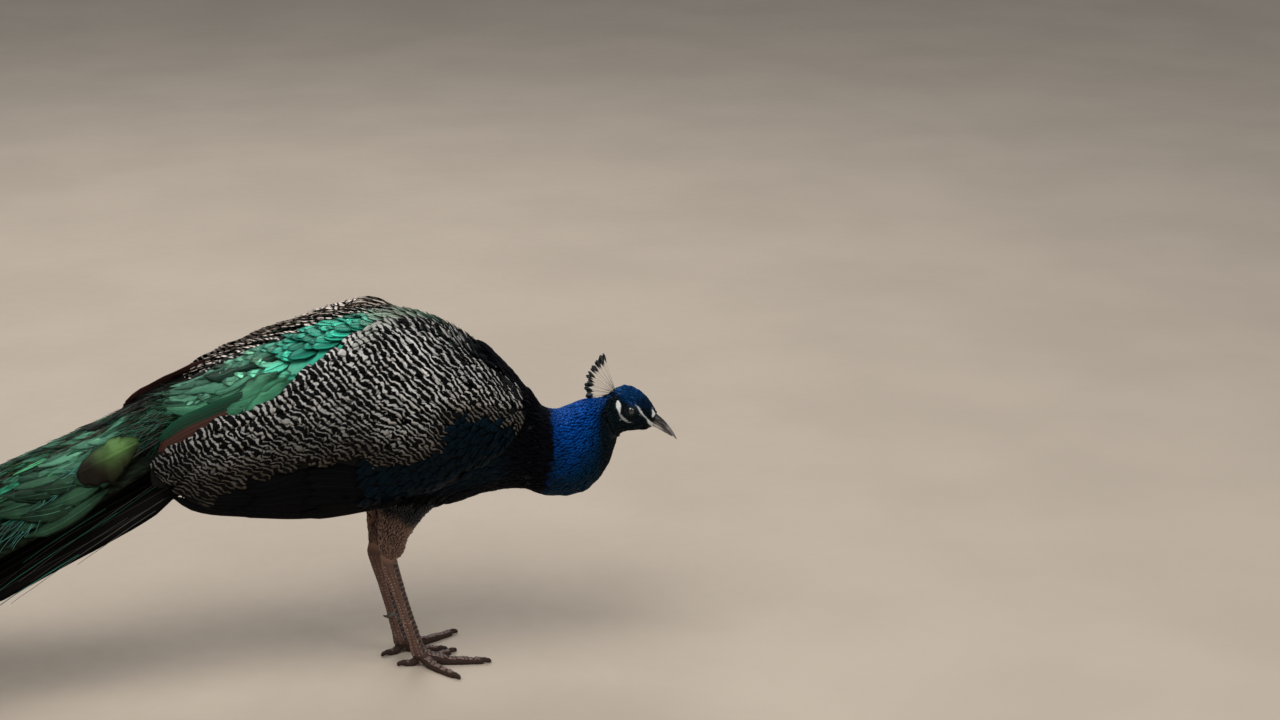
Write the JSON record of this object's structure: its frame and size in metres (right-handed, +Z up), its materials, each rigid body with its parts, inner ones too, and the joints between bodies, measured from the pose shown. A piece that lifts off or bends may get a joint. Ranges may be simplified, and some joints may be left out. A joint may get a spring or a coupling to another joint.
{
  "type": "peacock, male Indian peafowl model",
  "caption": "Standing peacock, life size, with arched back, low head, upright crest fan, folded barred wings and a long train that slopes down to lie on the floor behind it.",
  "frame": {"origin": "on the floor, below the middle of the model's length and width", "axes": "+X towards the head, +Y to the bird's left, +Z up"},
  "size_m": [1.6491, 0.32, 0.4626],
  "materials": {
    "head_feathers": "small glossy blue feathers, satin",
    "neck_feathers": "glossy cobalt blue feathers, iridescent",
    "body_feathers": "black-green feathers, emerald along the back",
    "barred_feathers": "buff and black barred feathers, matt",
    "dark_feathers": "blue-black flight feathers, satin",
    "chestnut_feathers": "chestnut flight feathers, satin",
    "tail_feathers": "dark brown tail feathers, matt",
    "train_feathers": "green and bronze train feathers with eye spots, iridescent",
    "thigh_feathers": "buff and black downy feathers, matt",
    "crest_feathers": "bare pale stems with dark blue-green tips",
    "horn": "grey-brown horn, satin",
    "eye": "wet dark brown eye",
    "leg_skin": "grey-brown scaled skin, matt"
  },
  "bodies": {
    "root": {"head": "head_feathers", "neck": "neck_feathers", "trunk": "body_feathers", "crest": "crest_feathers", "bill_upper": "horn", "bill_lower": "horn", "eye_right": "eye", "eye_left": "eye", "tail": "tail_feathers", "train_root": "train_feathers", "train_middle": "train_feathers", "train_end": "train_feathers", "wing_coverts_right": "barred_feathers", "wing_secondaries_right": "dark_feathers", "wing_primaries_right": "chestnut_feathers", "thigh_right": "thigh_feathers", "shank_right": "leg_skin", "spur_right": "horn", "foot_right": "leg_skin", "wing_coverts_left": "barred_feathers", "wing_secondaries_left": "dark_feathers", "wing_primaries_left": "chestnut_feathers", "thigh_left": "thigh_feathers", "shank_left": "leg_skin", "spur_left": "horn", "foot_left": "leg_skin"}
  },
  "joints": []
}
